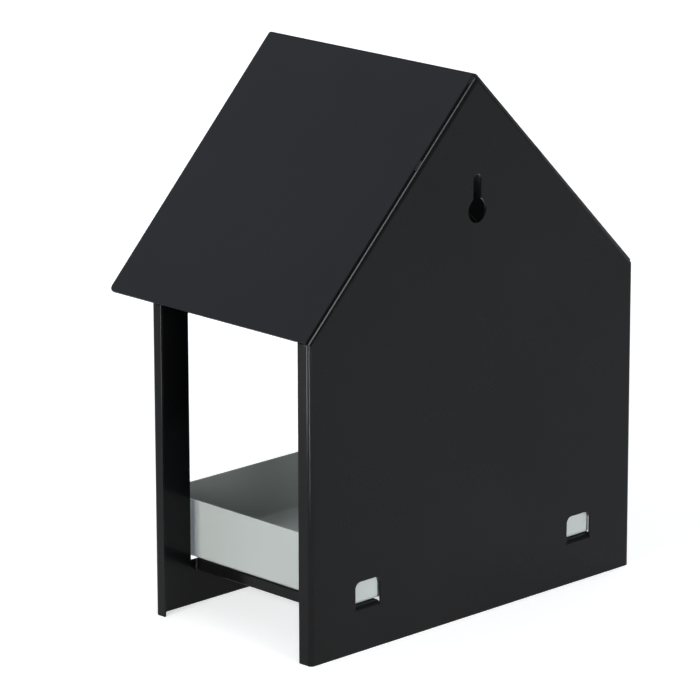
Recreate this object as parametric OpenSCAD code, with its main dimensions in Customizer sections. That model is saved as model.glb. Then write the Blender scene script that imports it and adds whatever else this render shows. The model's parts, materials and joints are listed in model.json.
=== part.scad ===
// Wall-hung bird feeder house: two folded sheet panels under a folded roof, and a loose tray.
// The origin is at the middle of the base and +Z is up. The open front with the overhanging roof
// faces -Y, the flat side that hangs on a wall faces +Y, and both X sides are open.

/* [House] */
// Width across the folded side edges
house_w = 200; // [170:1:250]
// Height of the shoulder, where the upright edge meets the gable slope
eave_h = 142; // [120:1:190]
// Distance between the outer faces of the front and back panels
box_depth = 99; // [85:1:120]
// Slope of the roof from level, in degrees
pitch = 45; // [35:1:48]

/* [Sheet metal] */
// Thickness of the painted sheet
sheet = 1; // [0.8:0.1:1.2]
// Outside radius of every fold
fold_r = 2; // [1.6:0.1:2.5]
// Depth of the back panel's folded edges
back_flange = 7.5; // [5:0.5:9]
// Depth of the front panel's folded edges
front_flange = 6; // [5:0.5:9]
// Rounding of each panel's shoulder corners
shoulder_r = 1.5; // [1:0.5:5]

/* [Roof] */
// How far the ridge reaches in front of the front panel
ridge_overhang = 30; // [26:1:45]
// How far the lower corners reach in front of the front panel
eave_overhang = 27; // [24:1:45]
// How far the roof's rear edge stays in front of the back panel's outer face
roof_gap = 2; // [0.5:0.1:2]
// Radius of the roof's lower front corners
roof_corner_r = 3; // [1:0.5:6]

/* [Front opening] */
// Width of the border beside and above the opening
post_w = 20.5; // [14:0.5:26]
// Height of the sill under the opening
sill_h = 20.5; // [18:0.5:30]

/* [Tray rests] */
// Outer face of each flat bar, from the middle of the house
rail_x = 76; // [60:0.5:85]
// Thickness of the flat bars
rail_t = 2; // [1:0.5:3]
// Height of the flat bars
rail_h = 5; // [4:0.5:10]
// Middle of each bent tab, from the middle of the house
tab_x = 66; // [50:0.5:66]
// Width of the window that each tab is cut from
window_w = 15; // [10:0.5:16]
// Height of the window above the tray's rest
window_h = 11; // [8:0.5:14]
// How far each tab reaches in from the outer face
tab_reach = 10.4; // [8:0.1:14]
// Radius of the window's top corners and of the tab's free corners
window_r = 3; // [1:0.5:4]

/* [Keyhole] */
// Height of the middle of the round entry hole
keyhole_z = 183; // [160:1:190]
// Radius of the round entry hole
keyhole_r = 5.5; // [4:0.5:6]
// Width of the slot above it
slot_w = 5; // [3:0.2:5]
// Rise from the middle of the entry hole to the middle of the slot's round end
slot_rise = 13.5; // [10:0.5:18]

/* [Tray] */
// Outside width of the tray
tray_w = 153; // [120:1:158]
// Outside length of the tray, back to front
tray_len = 118; // [80:0.5:118]
// Outside height of the tray
tray_h = 27; // [15:0.2:40]
// Thickness of the tray's sheet
tray_sheet = 0.8; // [0.6:0.1:1.2]
// Radius of the tray's upright corners
tray_corner_r = 3; // [2:0.5:8]
// Radius of the fold between the tray's floor and its walls
tray_fold_r = 2; // [1.5:0.5:5]
// Distance from the back panel's outer face to the tray's rear wall
tray_gap = 2.2; // [2:0.2:8]

/* [Welds] */
// Middle of the left and right tack welds on the rear gable slopes
tack_x = [34, -40];
// Length of a tack weld along the slope
tack_len = 6; // [4:0.5:12]
// Radius of a roof weld bead
tack_r = 0.9; // [0.6:0.1:1]
// Length of the weld down each slope from the ridge
ridge_weld_len = 5; // [3:0.5:8]
// Leg of the fillet welds at the ends of the flat bars
fillet_r = 1.4; // [0.8:0.1:2]

/* [Hidden] */
$fn = 96;
roof_depth = box_depth + ridge_overhang;
wall_y = roof_depth / 2;
roof_rear_y = wall_y - roof_gap;
front_y = wall_y - box_depth;
ridge_y = wall_y - roof_depth;
half_w = house_w / 2;
apex_z = eave_h + half_w * tan(pitch);
slope_len = half_w / cos(pitch);
// Distance from the base's middle to the gable slope, square to the slope
slope_reach = half_w * sin(pitch) + eave_h * cos(pitch);
// The panels stop this far under their sharp apex, clear of the roof's inside radius
apex_flat = 1;
// The tray slides with this much air under it
tray_lift = 0.2;
// Slack between a tab and the window it was cut from, on each side
cut_slack = 0.25;
// Larger than the house: how far cutting blocks reach
span = 400;
// How far a cutting shape passes the face it cuts
pass = 1;
black = [0.13, 0.13, 0.135];
light_grey = [0.74, 0.76, 0.745];

// Slab from -span to reach, between low and high, with its far top corner rounded
module fold_section(reach, low, high, r) {
    difference() {
        translate([-span, low]) square([span + reach, high - low]);
        translate([reach - r, high - r]) difference() {
            square(r + pass);
            circle(r);
        }
    }
}

// Everything inside one edge of the gable outline; the edge faces the given angle above +X
module edge_block(angle, reach, low, high, r) {
    rotate([0, -angle, 0])
        linear_extrude(2 * span, center = true) fold_section(reach, low, high, r);
}

// House-shaped block drawn in by inset, from y = low to y = high, standing on z = base
module gable_block(inset, low, high, r, base) {
    intersection() {
        edge_block(0, half_w - inset, low, high, r);
        edge_block(180, half_w - inset, low, high, r);
        edge_block(90 - pitch, slope_reach - inset, low, high, r);
        edge_block(90 + pitch, slope_reach - inset, low, high, r);
        translate([-span / 2, -span / 2, base]) cube(span);
    }
}

// Waste that leaves a corner rounded about the origin, between edges that face angles a and b
module corner_waste(a, b, r) {
    cut_r = r + pass;
    tip = cut_r / cos((b - a) / 2);
    difference() {
        polygon([[0, 0], cut_r * unit(a), tip * unit((a + b) / 2), cut_r * unit(b)]);
        circle(r);
    }
}

function unit(angle) = [cos(angle), sin(angle)];

// House-shaped pan of sheet: a face at y = high with its edges folded back by depth
module gable_pan(high, depth) {
    through = depth + 2 * pass;
    corner_x = half_w - shoulder_r;
    corner_z = (slope_reach - shoulder_r - corner_x * sin(pitch)) / cos(pitch);
    difference() {
        gable_block(0, high - depth, high, fold_r, 0);
        gable_block(sheet, high - depth - pass, high - sheet, fold_r - sheet, -pass);
        translate([-half_w, high - depth - pass, apex_z - apex_flat])
            cube([house_w, through, half_w]);
        for (side = [0, 1]) mirror([side, 0, 0]) translate([corner_x, high + pass, corner_z])
            rotate([90, 0, 0]) linear_extrude(through) corner_waste(0, 90 - pitch, shoulder_r);
    }
}

// Rectangle centred on x = 0 that rises from y = 0, with its two top corners rounded
module round_top(w, h, r) {
    translate([-w / 2, 0]) square([w, h - r]);
    translate([r - w / 2, h - r]) square([w - 2 * r, r]);
    for (side = [-1, 1]) translate([side * (w / 2 - r), h - r]) circle(r);
}

// Cuts through the back panel where a tab was bent in
module tab_window() {
    translate([0, wall_y + pass, sill_h - fold_r]) rotate([90, 0, 0])
        linear_extrude(sheet + 2 * pass) round_top(window_w, window_h + fold_r, window_r);
}

// Tab bent in about the window's lower edge, so that its top carries the tray
module rest_tab() {
    tab_w = window_w - 2 * cut_slack;
    translate([-tab_w / 2, wall_y - fold_r, sill_h - fold_r]) rotate([90, 0, 90])
        linear_extrude(tab_w) intersection() {
            difference() {
                circle(fold_r);
                circle(fold_r - sheet);
            }
            square(fold_r);
        }
    translate([0, wall_y - fold_r, sill_h]) rotate([180, 0, 0])
        linear_extrude(sheet) round_top(tab_w, tab_reach - fold_r, window_r);
}

// Round entry hole for a screw head, with a slot above it for the shank
module keyhole() {
    translate([0, wall_y + pass, keyhole_z]) rotate([90, 0, 0]) linear_extrude(sheet + 2 * pass) {
        circle(keyhole_r);
        translate([-slot_w / 2, 0]) square([slot_w, slot_rise]);
        translate([0, slot_rise]) circle(slot_w / 2);
    }
}

module back_panel() {
    color(black) {
        difference() {
            gable_pan(wall_y, back_flange);
            for (side = [-1, 1]) translate([side * tab_x, 0, 0]) tab_window();
            keyhole();
        }
        for (side = [-1, 1]) translate([side * tab_x, 0, 0]) rest_tab();
    }
}

// House-shaped outline of the front opening, standing on the sill
module opening_outline() {
    edge_x = half_w - post_w;
    top_z = apex_z - post_w / cos(pitch);
    corner_z = top_z - edge_x * tan(pitch);
    right = [[edge_x, sill_h], [edge_x, corner_z]];
    left = [[-edge_x, corner_z], [-edge_x, sill_h]];
    polygon(concat(right, [[0, top_z]], left));
}

module front_panel() {
    color(black) difference() {
        mirror([0, 1, 0]) gable_pan(-front_y, front_flange);
        translate([0, front_y + sheet + pass, 0]) rotate([90, 0, 0])
            linear_extrude(sheet + 2 * pass) opening_outline();
    }
}

// Point at a distance down the +X slope from the apex, raised by out square to the slope
function on_slope(down, out) =
    [down * cos(pitch) + out * sin(pitch), apex_z - down * sin(pitch) + out * cos(pitch)];

// Outline under both slopes, raised by out, with its ridge rounded about the fold's centre
module under_roof(out, down) {
    right = [on_slope(down, out), on_slope(down, 0)];
    left = [for (i = [1, 0]) [-right[i].x, right[i].y]];
    difference() {
        polygon(concat([[0, apex_z + out / cos(pitch)]], right, left));
        translate([0, apex_z - (fold_r - sheet) / cos(pitch)])
            corner_waste(90 - pitch, 90 + pitch, fold_r - sheet + out);
    }
}

// Section of the folded roof, resting on the gable slopes
module roof_section() {
    difference() {
        under_roof(sheet, slope_len);
        under_roof(0, slope_len + pass);
    }
}

// Places things by distance down the +X slope, y, and height above the gable slope
module slope_frame() {
    translate([0, 0, apex_z]) rotate([0, pitch, 0]) children();
}

// Cuts one slope of the roof to shape: its front edge runs back from the ridge to the lower
// corner, which is rounded
module slope_trim() {
    lean = atan((ridge_overhang - eave_overhang) / slope_len);
    far = slope_len + pass;
    corner = slope_len - roof_corner_r;
    front_corner_y = ridge_y + corner * tan(lean) + roof_corner_r / cos(lean);
    slope_frame() translate([0, 0, -pass]) linear_extrude(sheet + 2 * pass) {
        polygon([[0, ridge_y], [far, ridge_y + far * tan(lean)],
                 [far, ridge_y - pass], [0, ridge_y - pass]]);
        translate([corner, front_corner_y]) corner_waste(lean - 90, 0, roof_corner_r);
    }
}

module roof() {
    color(black) difference() {
        translate([0, roof_rear_y, 0]) rotate([90, 0, 0])
            linear_extrude(roof_depth - roof_gap) roof_section();
        for (side = [0, 1]) mirror([side, 0, 0]) slope_trim();
    }
}

// Flat bar on edge from the front panel to the back panel, on the +X side
module rail() {
    back_y = wall_y - sheet;
    start_y = front_y + sheet;
    color(black) translate([rail_x - rail_t, start_y, sill_h - rail_h])
        cube([rail_t, back_y - start_y, rail_h]);
}

module rail_left() {
    rail();
}

module rail_right() {
    mirror([1, 0, 0]) rail();
}

// Box with rounded upright corners and rounded lower edges, standing on z = 0
module tray_block(w, len, h, corner_r, bottom_r) {
    intersection() {
        linear_extrude(h) {
            square([w - 2 * corner_r, len], center = true);
            square([w, len - 2 * corner_r], center = true);
            for (i = [-1, 1], j = [-1, 1])
                translate([i * (w / 2 - corner_r), j * (len / 2 - corner_r)]) circle(corner_r);
        }
        rotate([90, 0, 0]) linear_extrude(len, center = true) trough(w, h, bottom_r);
        rotate([90, 0, 90]) linear_extrude(w, center = true) trough(len, h, bottom_r);
    }
}

// Rectangle standing on y = 0 with its two lower corners rounded
module trough(w, h, r) {
    translate([0, h]) mirror([0, 1]) round_top(w, h, r);
}

module tray() {
    wall = tray_sheet;
    mid_y = wall_y - tray_gap - tray_len / 2;
    color(light_grey) translate([0, mid_y, sill_h + tray_lift]) difference() {
        tray_block(tray_w, tray_len, tray_h, tray_corner_r, tray_fold_r);
        translate([0, 0, wall])
            tray_block(tray_w - 2 * wall, tray_len - 2 * wall, tray_h,
                       tray_corner_r - wall, tray_fold_r - wall);
    }
}

// Bead along the roof's rear edge, from start to start + len down the slope
module slope_bead(start, len) {
    straight = len - 2 * tack_r;
    slope_frame() translate([start + tack_r, roof_rear_y, 0]) {
        rotate([0, 90, 0]) cylinder(h = straight, r = tack_r, $fn = 32);
        for (end = [0, straight]) translate([end, 0, 0]) sphere(tack_r, $fn = 32);
    }
}

module roof_welds() {
    color(black) {
        for (x = tack_x)
            mirror([x < 0 ? 1 : 0, 0, 0]) slope_bead(abs(x) / cos(pitch) - tack_len / 2, tack_len);
        for (side = [0, 1]) mirror([side, 0, 0]) slope_bead(0, ridge_weld_len);
    }
}

// Quarter-round fillets where the bars' outer faces meet the panels' inner faces
module rail_welds() {
    color(black) for (side = [0, 1]) mirror([side, 0, 0]) {
        translate([rail_x, front_y + sheet, sill_h - rail_h]) quarter_round(0);
        translate([rail_x, wall_y - sheet, sill_h - rail_h]) quarter_round(-90);
    }
}

module quarter_round(turn) {
    rotate([0, 0, turn]) intersection() {
        cylinder(h = rail_h, r = fillet_r);
        cube([fillet_r, fillet_r, rail_h]);
    }
}

back_panel();
front_panel();
roof();
rail_left();
rail_right();
tray();
roof_welds();
rail_welds();
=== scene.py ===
# Looks, floor, lights and camera for the wall-hung bird feeder house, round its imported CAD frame.
import json
import math

import bmesh
import bpy
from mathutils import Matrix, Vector, noise

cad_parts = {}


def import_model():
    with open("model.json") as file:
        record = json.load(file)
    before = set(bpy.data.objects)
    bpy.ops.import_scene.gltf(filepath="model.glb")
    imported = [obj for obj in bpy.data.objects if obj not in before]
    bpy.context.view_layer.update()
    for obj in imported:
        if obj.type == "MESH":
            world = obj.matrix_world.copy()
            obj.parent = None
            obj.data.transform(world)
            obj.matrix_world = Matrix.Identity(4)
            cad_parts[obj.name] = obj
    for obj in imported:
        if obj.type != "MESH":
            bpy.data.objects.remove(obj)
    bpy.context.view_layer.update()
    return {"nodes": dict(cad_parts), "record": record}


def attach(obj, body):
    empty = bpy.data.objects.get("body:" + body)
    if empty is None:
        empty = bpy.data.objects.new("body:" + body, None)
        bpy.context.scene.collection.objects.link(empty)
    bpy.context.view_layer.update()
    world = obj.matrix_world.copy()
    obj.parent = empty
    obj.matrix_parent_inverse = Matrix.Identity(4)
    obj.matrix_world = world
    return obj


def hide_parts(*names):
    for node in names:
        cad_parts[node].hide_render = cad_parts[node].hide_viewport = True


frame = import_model()

MM = 0.001

# Camera: where it looks, from which side (degrees), how far off (metres), and its lens (mm)
CAMERA_TARGET = Vector((29.2, 15.85, 116.86)) * MM
CAMERA_AZIMUTH = 135.79
CAMERA_ELEVATION = 15.49
CAMERA_DISTANCE = 1.99
CAMERA_ROLL = -0.14
CAMERA_LENS = 234.5
CAMERA_SENSOR = 36.0
CAMERA_NEAR = 0.05
CAMERA_FAR = 50.0

# Pale floor: a wide disc, with light of its own that keeps it white behind the object
FLOOR_RADIUS = 9.0
FLOOR_SIDES = 96
FLOOR_COLOUR = (0.86, 0.86, 0.86)
FLOOR_GLOW = 0.56

# Studio: strength and tints of its light, and the places that the lamps point at (metres)
WORLD_STRENGTH = 0.21
WORLD_TINT = (0.84, 0.97, 1.12)
WHITE = (1.0, 1.0, 1.0)
WARM = (1.0, 0.985, 0.96)
COOL = (0.93, 0.95, 1.10)
MIDDLE = (0.0, 0.0, 0.12)
FOLD_TOP = (0.10, 0.0645, 0.135)
SLOPE_MIDDLE = (0.05, 0.06, 0.19)
ROOF_MIDDLE = (0.05, 0.0, 0.19)

# Paint colours: the cloudy base from deep to pale, and the thinner paint along edges
BLACK_DEEP = (0.0040, 0.0041, 0.0045)
BLACK_PALE = (0.0062, 0.0063, 0.0068)
BLACK_EDGE = (0.014, 0.014, 0.0145)
GREY_DEEP = (0.46, 0.495, 0.475)
GREY_PALE = (0.50, 0.535, 0.512)
GREY_EDGE = (0.62, 0.645, 0.63)

# The part of a noise's range that most of the surface falls in
NOISE_LOW = 0.3
NOISE_HIGH = 0.7

# Rounding that the powder coat gives to every cut edge of the sheet
EDGE_RADIUS = 0.22 * MM
# Smaller on the front panel, where 0.4 mm of metal is left between its folds and its cut peak
FRONT_EDGE_RADIUS = 0.16 * MM
EDGE_SEGMENTS = 3
SHARP_ANGLE = math.radians(35)
FLAT_ANGLE = math.radians(0.2)
CREASE_ANGLE = math.radians(12)
JOIN_DISTANCE = 0.002 * MM

# The weld beads, in the CAD frame; the roof's beads lie along its rear edge, down each slope
PITCH = math.radians(45)
APEX_Z = 242 * MM
ROOF_REAR_Y = 62.5 * MM
TACK_LENGTH = 6 * MM
TACK_RIGHT_X = 34 * MM
TACK_LEFT_X = 40 * MM
RIDGE_BEAD_LENGTH = 5 * MM
ROOF_BEAD_R = 0.9 * MM
RAIL_X = 76 * MM
RAIL_LOW_Z = 15.5 * MM
RAIL_H = 5 * MM
FRONT_INNER_Y = -33.5 * MM
BACK_INNER_Y = 63.5 * MM
FILLET = 1.4 * MM

# Ripples that the moving weld pool leaves on a bead
RIPPLE_PITCH = 0.8 * MM
RIPPLE_DEPTH = 0.09
RIPPLE_LEAN = 0.9
LUMPINESS = 0.05
LUMP_SPACING = 1.7 * MM
# How much the lumps change round a bead
LUMP_TURN = 1.3
BEAD_RINGS = 64
BEAD_SIDES = 28
# Share of the half turn left off at each end of a bead, so its tip is blunt
BLUNT_SHARE = 0.02

# Seeds that give every bead its own lumps; the left side's are one higher
TACK_SEED = 0
RIDGE_SEED = 10
FRONT_SEED = 20
BACK_SEED = 30


# ---------------------------------------------------------------- materials

class Nodes:
    """Short way to build one material's node tree."""

    def __init__(self, name):
        self.material = bpy.data.materials.new(name)
        self.material.use_nodes = True
        self.tree = self.material.node_tree
        self.shader = self.tree.nodes["Principled BSDF"]
        self.place = self.add("ShaderNodeTexCoord").outputs["Object"]

    def add(self, kind, **settings):
        node = self.tree.nodes.new(kind)
        for key, value in settings.items():
            setattr(node, key, value)
        return node

    def link(self, source, target):
        self.tree.links.new(source, target)

    def noise(self, scale, detail=2.0, roughness=0.5, stretch=None):
        node = self.add("ShaderNodeTexNoise")
        node.inputs["Scale"].default_value = scale
        node.inputs["Detail"].default_value = detail
        node.inputs["Roughness"].default_value = roughness
        source = self.place
        if stretch:
            mapping = self.add("ShaderNodeMapping")
            mapping.inputs["Scale"].default_value = stretch
            self.link(source, mapping.inputs["Vector"])
            source = mapping.outputs["Vector"]
        self.link(source, node.inputs["Vector"])
        return node.outputs["Fac"]

    def ramp(self, source, low, high, start=NOISE_LOW, end=NOISE_HIGH):
        """Numbers from low to high as source goes from start to end."""
        node = self.add("ShaderNodeMapRange")
        node.inputs["From Min"].default_value = start
        node.inputs["From Max"].default_value = end
        node.inputs["To Min"].default_value = low
        node.inputs["To Max"].default_value = high
        self.link(source, node.inputs["Value"])
        return node.outputs["Result"]

    def mix(self, share, first, second):
        node = self.add("ShaderNodeMix", data_type="RGBA")
        self.link(share, node.inputs["Factor"])
        for value, socket in ((first, node.inputs[6]), (second, node.inputs[7])):
            if isinstance(value, tuple):
                socket.default_value = (*value, 1.0)
            else:
                self.link(value, socket)
        return node.outputs[2]

    def math(self, operation, first, second):
        node = self.add("ShaderNodeMath", operation=operation)
        for value, socket in ((first, node.inputs[0]), (second, node.inputs[1])):
            if isinstance(value, (int, float)):
                socket.default_value = value
            else:
                self.link(value, socket)
        return node.outputs["Value"]

    def edges(self, width):
        """0 on flat faces, rising to 1 where the surface turns within width."""
        bevel = self.add("ShaderNodeBevel", samples=4)
        bevel.inputs["Radius"].default_value = width
        geometry = self.add("ShaderNodeNewGeometry")
        turn = self.add("ShaderNodeVectorMath", operation="DOT_PRODUCT")
        self.link(bevel.outputs["Normal"], turn.inputs[0])
        self.link(geometry.outputs["Normal"], turn.inputs[1])
        return self.ramp(turn.outputs["Value"], 1.0, 0.0, 0.75, 0.99)

    def bump(self, height, distance, after=None):
        node = self.add("ShaderNodeBump")
        node.inputs["Strength"].default_value = 1.0
        node.inputs["Distance"].default_value = distance
        self.link(height, node.inputs["Height"])
        if after:
            self.link(after, node.inputs["Normal"])
        return node.outputs["Normal"]


def black_paint():
    """Satin black powder coat: fine orange peel, faint cloudiness, thinner paint along edges."""
    n = Nodes("black_powder_coat")
    cloud = n.noise(14.0, detail=3.0)
    speck = n.noise(2600.0, detail=1.0)
    patches = n.noise(220.0, detail=4.0)
    colour = n.mix(n.ramp(cloud, 0.0, 1.0), BLACK_DEEP, BLACK_PALE)
    wear = n.math("MULTIPLY", n.edges(0.5 * MM), n.ramp(patches, 0.0, 1.0, 0.45, 0.62))
    n.link(n.mix(wear, colour, BLACK_EDGE), n.shader.inputs["Base Color"])
    satin = n.math("ADD", n.ramp(cloud, 0.17, 0.21), n.ramp(speck, -0.02, 0.02))
    n.link(satin, n.shader.inputs["Roughness"])
    n.shader.inputs["Specular IOR Level"].default_value = 0.108
    peel = n.bump(n.noise(750.0, detail=1.5), 0.012 * MM)
    grain = n.bump(speck, 0.002 * MM, after=peel)
    n.link(grain, n.shader.inputs["Normal"])
    return n.material


def grey_paint():
    """Matt light grey powder coat: fine even texture, faint streaks, paler worn rims."""
    n = Nodes("grey_powder_coat")
    cloud = n.noise(11.0, detail=3.0)
    streak = n.noise(60.0, detail=2.0, stretch=(1.0, 1.0, 0.06))
    speck = n.noise(2200.0, detail=1.0)
    patches = n.noise(260.0, detail=4.0)
    shade = n.math("ADD", n.ramp(cloud, 0.0, 0.6), n.ramp(streak, 0.0, 0.4))
    colour = n.mix(shade, GREY_DEEP, GREY_PALE)
    wear = n.math("MULTIPLY", n.edges(0.4 * MM), n.ramp(patches, 0.2, 1.0, 0.4, 0.65))
    n.link(n.mix(wear, colour, GREY_EDGE), n.shader.inputs["Base Color"])
    matt = n.math("ADD", n.ramp(cloud, 0.46, 0.52), n.ramp(speck, -0.04, 0.04))
    n.link(matt, n.shader.inputs["Roughness"])
    n.shader.inputs["Specular IOR Level"].default_value = 0.4
    peel = n.bump(n.noise(900.0, detail=1.5), 0.018 * MM)
    grain = n.bump(speck, 0.005 * MM, after=peel)
    n.link(grain, n.shader.inputs["Normal"])
    return n.material


def pale_floor():
    """Plain matt floor that glows a little."""
    n = Nodes("pale_floor")
    n.shader.inputs["Base Color"].default_value = (*FLOOR_COLOUR, 1.0)
    n.shader.inputs["Roughness"].default_value = 0.9
    n.shader.inputs["Specular IOR Level"].default_value = 0.1
    n.shader.inputs["Emission Color"].default_value = (*WHITE, 1.0)
    n.shader.inputs["Emission Strength"].default_value = FLOOR_GLOW
    return n.material


# ---------------------------------------------------------------- CAD sheet parts

def crease_marker():
    """Node group that keeps creases crisp, such as the mitres where two folds meet."""
    group = bpy.data.node_groups.new("mark_creases", "GeometryNodeTree")
    for side in ("INPUT", "OUTPUT"):
        group.interface.new_socket("Geometry", in_out=side, socket_type="NodeSocketGeometry")
    start = group.nodes.new("NodeGroupInput")
    end = group.nodes.new("NodeGroupOutput")
    turn = group.nodes.new("GeometryNodeInputMeshEdgeAngle")
    sharper = group.nodes.new("FunctionNodeCompare")
    sharper.operation = "GREATER_THAN"
    sharper.inputs["B"].default_value = CREASE_ANGLE
    shade = group.nodes.new("GeometryNodeSetShadeSmooth")
    shade.domain = "EDGE"
    shade.inputs["Shade Smooth"].default_value = False
    group.links.new(turn.outputs["Unsigned Angle"], sharper.inputs["A"])
    group.links.new(sharper.outputs["Result"], shade.inputs["Selection"])
    group.links.new(start.outputs[0], shade.inputs["Geometry"])
    group.links.new(shade.outputs["Geometry"], end.inputs[0])
    return group


def soften_edges(part, creases, radius):
    """Round a CAD part's cut edges as paint does, with modifiers only."""
    weld = part.modifiers.new("join_faces", "WELD")
    weld.merge_threshold = JOIN_DISTANCE
    flat = part.modifiers.new("plain_faces", "DECIMATE")
    flat.decimate_type = "DISSOLVE"
    flat.angle_limit = FLAT_ANGLE
    part.modifiers.new("creases", "NODES").node_group = creases
    bevel = part.modifiers.new("paint_edge", "BEVEL")
    bevel.width = radius
    bevel.segments = EDGE_SEGMENTS
    bevel.limit_method = "ANGLE"
    bevel.angle_limit = SHARP_ANGLE
    bevel.harden_normals = False
    normals = part.modifiers.new("even_shading", "WEIGHTED_NORMAL")
    normals.weight = 100
    normals.keep_sharp = True


def dress(part, material):
    part.data.materials.clear()
    part.data.materials.append(material)


# ---------------------------------------------------------------- weld beads

def ripple(along, angle, seed):
    """Share of the full radius at one place on a bead: leaning ripples and a few soft lumps."""
    wave = 0.5 + 0.5 * math.cos(math.tau * along / RIPPLE_PITCH + RIPPLE_LEAN * math.cos(angle))
    turned = (LUMP_TURN * math.cos(angle), LUMP_TURN * math.sin(angle) + seed)
    place = Vector((along / LUMP_SPACING, *turned))
    lump = 0.5 + 0.5 * noise.noise(place)
    return 1.0 - RIPPLE_DEPTH * wave - LUMPINESS * lump


def swept_piece(name, rings, material):
    """Closed piece through rings of points, which all have the same count, capped at both ends."""
    mesh = bpy.data.meshes.new(name)
    shape = bmesh.new()
    rows = [[shape.verts.new(point) for point in ring] for ring in rings]
    count = len(rows[0])
    for low, high in zip(rows, rows[1:]):
        for i in range(count):
            j = (i + 1) % count
            shape.faces.new((low[i], low[j], high[j], high[i]))
    shape.faces.new(rows[0][::-1])
    shape.faces.new(rows[-1])
    bmesh.ops.recalc_face_normals(shape, faces=shape.faces)
    for face in shape.faces:
        face.smooth = True
    shape.to_mesh(mesh)
    shape.free()
    made = bpy.data.objects.new(name, mesh)
    bpy.context.scene.collection.objects.link(made)
    dress(made, material)
    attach(made, "house")
    return made


def roof_bead(name, side, start, length, seed, material):
    """Round-ended bead along the roof's rear edge, from start down the slope on one side."""
    down = Vector((side * math.cos(PITCH), 0.0, -math.sin(PITCH)))
    out = Vector((side * math.sin(PITCH), 0.0, math.cos(PITCH)))
    back = Vector((0.0, 1.0, 0.0))
    first = Vector((0.0, ROOF_REAR_Y, APEX_Z)) + down * start
    rings = []
    for i in range(BEAD_RINGS):
        share = BLUNT_SHARE + (1 - 2 * BLUNT_SHARE) * i / (BEAD_RINGS - 1)
        along = length * (0.5 - 0.5 * math.cos(math.pi * share))
        tip = max(0.0, ROOF_BEAD_R - min(along, length - along))
        reach = math.sqrt(ROOF_BEAD_R ** 2 - tip ** 2)
        ring = []
        for j in range(BEAD_SIDES):
            angle = math.tau * j / BEAD_SIDES
            spoke = back * math.cos(angle) + out * math.sin(angle)
            ring.append(first + down * along + spoke * reach * ripple(along, angle, seed))
        rings.append(ring)
    return swept_piece(name, rings, material)


def rail_bead(name, side, panel_y, inward, seed, material):
    """Upright fillet bead in the corner between a bar's outer face and a panel's inner face."""
    corner = Vector((side * RAIL_X, panel_y, RAIL_LOW_Z))
    across = Vector((side, 0.0, 0.0))
    along_bar = Vector((0.0, inward, 0.0))
    rings = []
    for i in range(BEAD_RINGS):
        height = RAIL_H * i / (BEAD_RINGS - 1)
        ring = [corner + Vector((0.0, 0.0, height))]
        for j in range(BEAD_SIDES):
            angle = 0.5 * math.pi * j / (BEAD_SIDES - 1)
            spoke = across * math.cos(angle) + along_bar * math.sin(angle)
            ring.append(ring[0] + spoke * FILLET * ripple(height, angle, seed))
        rings.append(ring)
    return swept_piece(name, rings, material)


def weld_beads(material):
    """All the beads, in place of the two CAD weld nodes."""
    sides = (("right", 1, TACK_RIGHT_X), ("left", -1, TACK_LEFT_X))
    for number, (word, side, tack_x) in enumerate(sides):
        start = tack_x / math.cos(PITCH) - TACK_LENGTH / 2
        seed = number + TACK_SEED
        tack = roof_bead(f"tack_bead_{word}", side, start, TACK_LENGTH, seed, material)
        seed = number + RIDGE_SEED
        ridge = roof_bead(f"ridge_bead_{word}", side, 0.0, RIDGE_BEAD_LENGTH, seed, material)
        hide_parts("roof_welds")
        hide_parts("roof_welds")
        seed = number + FRONT_SEED
        front = rail_bead(f"rail_bead_front_{word}", side, FRONT_INNER_Y, 1, seed, material)
        seed = number + BACK_SEED
        back = rail_bead(f"rail_bead_back_{word}", side, BACK_INNER_Y, -1, seed, material)
        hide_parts("rail_welds")
        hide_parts("rail_welds")


# ---------------------------------------------------------------- floor, lights, camera

def floor(material):
    """Round floor under the object; it throws no light back up at it."""
    mesh = bpy.data.meshes.new("floor")
    shape = bmesh.new()
    bmesh.ops.create_circle(shape, cap_ends=True, segments=FLOOR_SIDES, radius=FLOOR_RADIUS)
    shape.to_mesh(mesh)
    shape.free()
    made = bpy.data.objects.new("floor", mesh)
    bpy.context.scene.collection.objects.link(made)
    mesh.materials.append(material)
    made.visible_diffuse = False


def direction(azimuth, elevation):
    """Unit vector from the object to a place at that azimuth (0 is -Y, 90 is +X) and elevation."""
    a, e = math.radians(azimuth), math.radians(elevation)
    return Vector((math.sin(a) * math.cos(e), -math.cos(a) * math.cos(e), math.sin(e)))


def softbox(name, azimuth, elevation, distance, width, height, power, aim=MIDDLE, tint=WHITE):
    """Rectangular lamp at a distance from its aim, facing it; the camera doesn't see it."""
    data = bpy.data.lights.new(name, "AREA")
    data.color = tint
    data.shape = "RECTANGLE"
    data.size = width
    data.size_y = height
    data.energy = power
    lamp = bpy.data.objects.new(name, data)
    bpy.context.scene.collection.objects.link(lamp)
    back = direction(azimuth, elevation)
    lamp.location = Vector(aim) + back * distance
    lamp.rotation_mode = "QUATERNION"
    lamp.rotation_quaternion = back.to_track_quat("Z", "Y")
    lamp.visible_camera = False
    return lamp


def kicker(name, azimuth, elevation, distance, width, height, power, aim, tint=WHITE):
    """Softbox that shows only as a reflection, such as the bright line along a fold."""
    lamp = softbox(name, azimuth, elevation, distance, width, height, power, aim, tint)
    lamp.visible_diffuse = False


def world():
    """Even light from all round."""
    made = bpy.data.worlds.new("studio")
    made.use_nodes = True
    background = made.node_tree.nodes["Background"]
    background.inputs["Color"].default_value = (*WORLD_TINT, 1.0)
    background.inputs["Strength"].default_value = WORLD_STRENGTH
    bpy.context.scene.world = made


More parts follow.
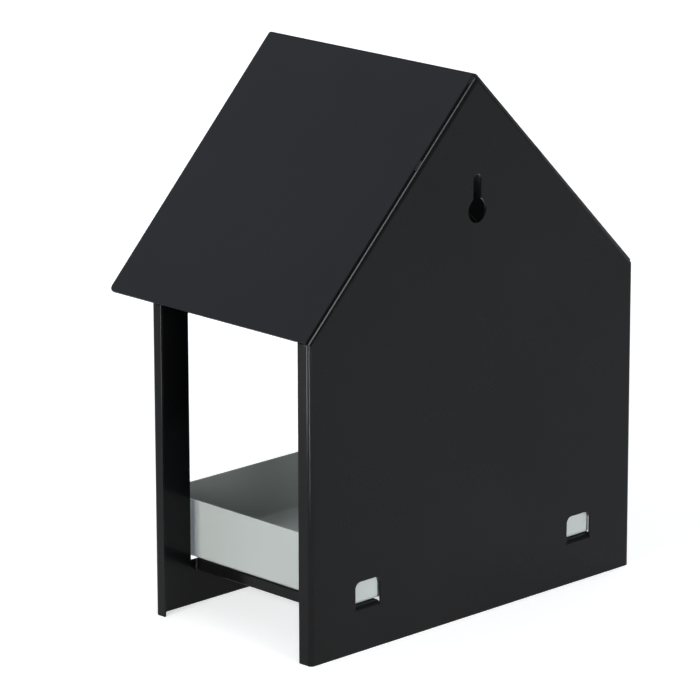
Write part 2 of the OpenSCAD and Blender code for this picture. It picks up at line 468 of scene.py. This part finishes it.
def lamps():
    """The studio's lamps."""
    # Low from the open side, so the tray's side is bright and its inside stays in shade
    softbox("key", 99, 12.5, 1.6, 0.36, 0.9, 21, tint=WARM)
    # From behind the house, on the tray's rear wall in the two windows
    softbox("rear", 172, 5, 1.8, 0.5, 0.5, 26)
    # High from the far side, for the floor; kept out of the paint's reflections
    backdrop = softbox("backdrop", 316, 46, 3.1, 3.5, 3.5, 42)
    backdrop.visible_glossy = False
    # The bright lines along the back panel's +X upright fold and slope, and the roof's sheen
    kicker("fold_front", 56, -15.5, 0.30, 0.04, 0.06, 0.27, FOLD_TOP)
    kicker("fold_back", 122, -9, 0.30, 0.04, 0.06, 1.1, FOLD_TOP)
    kicker("slope", 106, 60, 1.5, 0.5, 0.5, 16, SLOPE_MIDDLE)
    kicker("roof_sheen", 22, 42, 1.5, 1.4, 1.4, 7.4, ROOF_MIDDLE, COOL)


def camera():
    """The camera at the viewing angle of the picture."""
    data = bpy.data.cameras.new("camera")
    data.sensor_width = CAMERA_SENSOR
    data.lens = CAMERA_LENS
    data.clip_start = CAMERA_NEAR
    data.clip_end = CAMERA_FAR
    made = bpy.data.objects.new("camera", data)
    bpy.context.scene.collection.objects.link(made)
    back = direction(CAMERA_AZIMUTH, CAMERA_ELEVATION)
    made.location = CAMERA_TARGET + back * CAMERA_DISTANCE
    turn = back.to_track_quat("Z", "Y").to_matrix().to_4x4()
    made.rotation_euler = turn.to_euler()
    made.rotation_euler.rotate_axis("Z", math.radians(CAMERA_ROLL))
    bpy.context.scene.camera = made


# ---------------------------------------------------------------- the whole scene

camera()
floor(pale_floor())
world()
lamps()
bpy.context.scene.view_settings.view_transform = "Standard"

paints = {"black_paint": black_paint(), "grey_paint": grey_paint()}
slots = {part["node"]: part["material_slot"] for part in frame["record"]["subparts"]}
creases = crease_marker()
for name, part in frame["nodes"].items():
    dress(part, paints[slots[name]])
    radius = FRONT_EDGE_RADIUS if name == "front_panel" else EDGE_RADIUS
    soften_edges(part, creases, radius)
weld_beads(paints["black_paint"])
